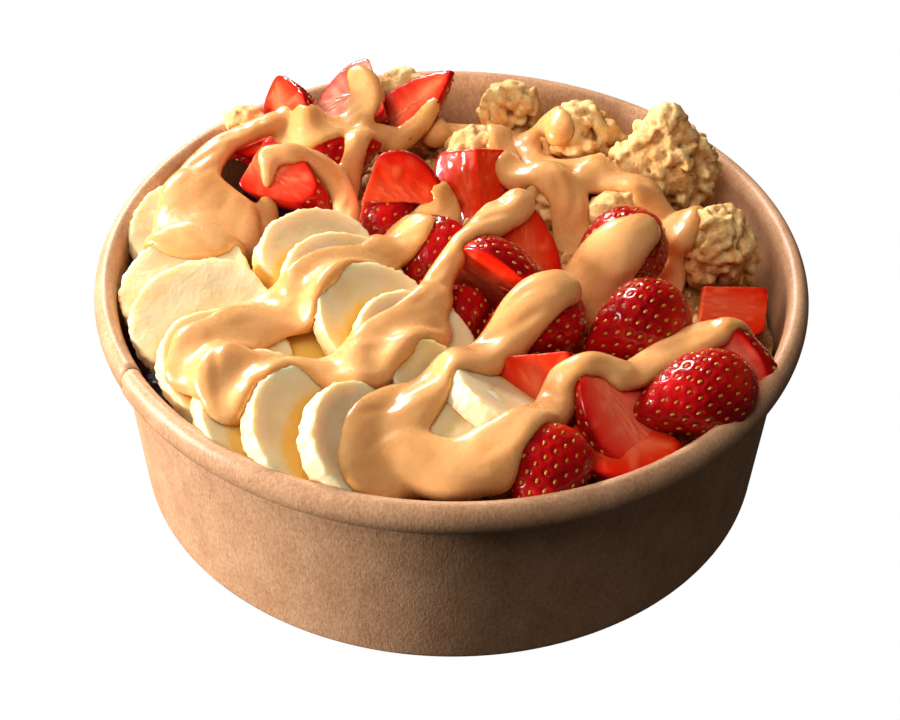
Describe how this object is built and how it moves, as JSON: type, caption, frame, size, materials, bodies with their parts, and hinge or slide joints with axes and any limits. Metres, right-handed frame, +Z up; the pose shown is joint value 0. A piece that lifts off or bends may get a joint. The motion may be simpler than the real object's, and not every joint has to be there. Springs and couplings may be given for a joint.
{
  "type": "acai bowl",
  "caption": "Round kraft paper bowl of acai pulp and granola, heaped with banana slices, cut strawberries and granola clusters under poured nut butter.",
  "frame": {"origin": "centre of the bowl's foot, on the surface that it stands on", "axes": "+Z up along the bowl's axis, +Y towards the back, where the granola lies, and -X towards the banana slices on the left"},
  "size_m": [0.15, 0.15, 0.0663],
  "materials": {
    "kraft_paper": "mottled brown kraft paper with short fibres, satin coating",
    "acai_pulp": "thick blended frozen pulp, dark purple",
    "granola": "baked oats, dry and craggy",
    "banana": "moist cut flesh, cream yellow, paler at the rim",
    "strawberry": "glossy red skin with seeds, paler cut faces",
    "nut_butter": "smooth runny peanut butter, caramel tan, glossy"
  },
  "bodies": {
    "root": {"bowl": "kraft_paper", "acai_pulp": "acai_pulp", "granola_heap": "granola", "cluster_back_1": "granola", "cluster_back_2": "granola", "cluster_rim_left": "granola", "cluster_back_3": "granola", "cluster_peak": "granola", "cluster_middle_1": "granola", "cluster_middle_2": "granola", "cluster_middle_3": "granola", "cluster_middle_4": "granola", "cluster_right": "granola", "banana_back": "banana", "banana_left": "banana", "banana_left_front": "banana", "banana_wall_1": "banana", "banana_wall_2": "banana", "banana_wall_3": "banana", "banana_wall_4": "banana", "banana_inner_low": "banana", "banana_inner_1": "banana", "banana_inner_2": "banana", "banana_inner_3": "banana", "banana_inner_4": "banana", "banana_scrap_1": "banana", "banana_scrap_2": "banana", "banana_front_1": "banana", "banana_front_2": "banana", "strawberry_rim_left": "strawberry", "strawberry_back_left": "strawberry", "strawberry_back": "strawberry", "strawberry_back_right": "strawberry", "strawberry_arch": "strawberry", "strawberry_behind_arch": "strawberry", "strawberry_upright": "strawberry", "strawberry_below_upright": "strawberry", "strawberry_middle_back": "strawberry", "strawberry_middle_left": "strawberry", "strawberry_cone": "strawberry", "strawberry_middle": "strawberry", "strawberry_middle_front": "strawberry", "strawberry_right": "strawberry", "strawberry_dark": "strawberry", "strawberry_rim_right": "strawberry", "strawberry_slab_right": "strawberry", "strawberry_front_right": "strawberry", "strawberry_wedge": "strawberry", "strawberry_flesh_up": "strawberry", "strawberry_front_low": "strawberry", "strawberry_front": "strawberry", "strawberry_deep": "strawberry", "sauce_back_left": "nut_butter", "sauce_patch": "nut_butter", "sauce_bananas": "nut_butter", "sauce_front": "nut_butter", "sauce_granola": "nut_butter"}
  },
  "joints": []
}
